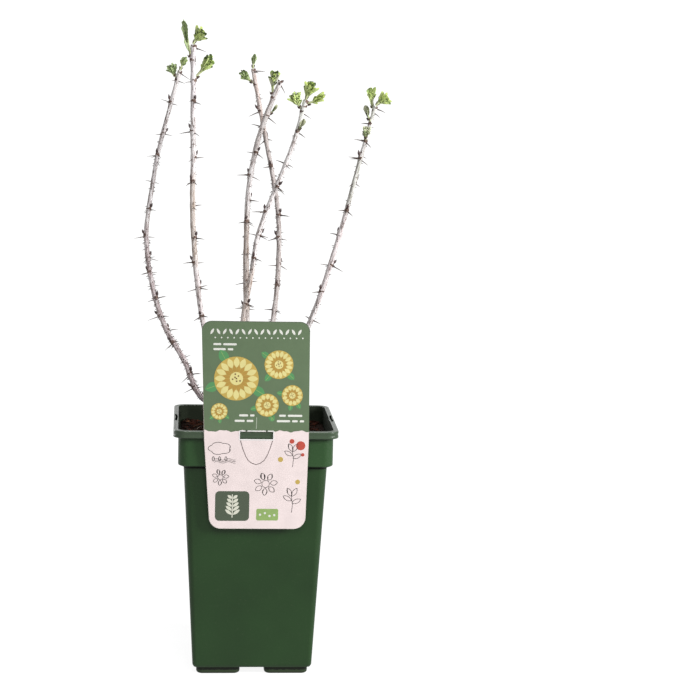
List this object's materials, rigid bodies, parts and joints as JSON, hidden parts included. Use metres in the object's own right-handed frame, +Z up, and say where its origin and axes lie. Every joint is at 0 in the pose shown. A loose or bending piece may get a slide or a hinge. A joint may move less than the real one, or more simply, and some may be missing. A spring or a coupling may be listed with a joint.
{
  "type": "potted gooseberry bush",
  "caption": "Young thorny gooseberry bush with arching bare canes and tufts of unfolding leaves, in a tall square nursery pot of soil with a blank picture card on the rim.",
  "frame": {"origin": "middle of the pot's underside, on the surface it stands on", "axes": "+Z up along the pot, +Y from the picture card's side to the back, +X to the right of someone facing the card"},
  "size_m": [0.2294, 0.1509, 0.5961],
  "materials": {
    "pot_plastic": "satin dark green moulded plastic, greyer and glossier on the rim",
    "soil": "dark reddish-brown bark and coir potting mix, rough",
    "card": "thin printed card, pale pink and mid green, semi-matt",
    "old_bark": "dark grey-brown bark, rough",
    "cane_bark": "pale grey to pinkish-beige bark, finely striped, with dark buds and thorns",
    "leaf": "fresh yellow-green young leaves, slightly glossy"
  },
  "bodies": {
    "root": {"pot": "pot_plastic", "soil": "soil", "picture_card": "card", "stump": "old_bark", "stem_outer_left": "cane_bark", "stem_inner_left": "cane_bark", "stem_middle": "cane_bark", "stem_back": "cane_bark", "stem_front": "cane_bark", "stem_right": "cane_bark", "leaves_outer_left_side": "leaf", "leaves_outer_left_tip": "leaf", "leaves_inner_left_top": "leaf", "leaves_inner_left_tip": "leaf", "leaves_inner_left_side": "leaf", "leaves_middle_top": "leaf", "leaves_middle_side": "leaf", "leaves_back_side": "leaf", "leaves_back_tip": "leaf", "leaves_front_left": "leaf", "leaves_front_tip": "leaf", "leaves_front_right": "leaf", "leaves_front_low": "leaf", "leaves_right_upper": "leaf", "leaves_right_outer": "leaf", "leaves_right_middle": "leaf", "leaves_right_low": "leaf"}
  },
  "joints": []
}
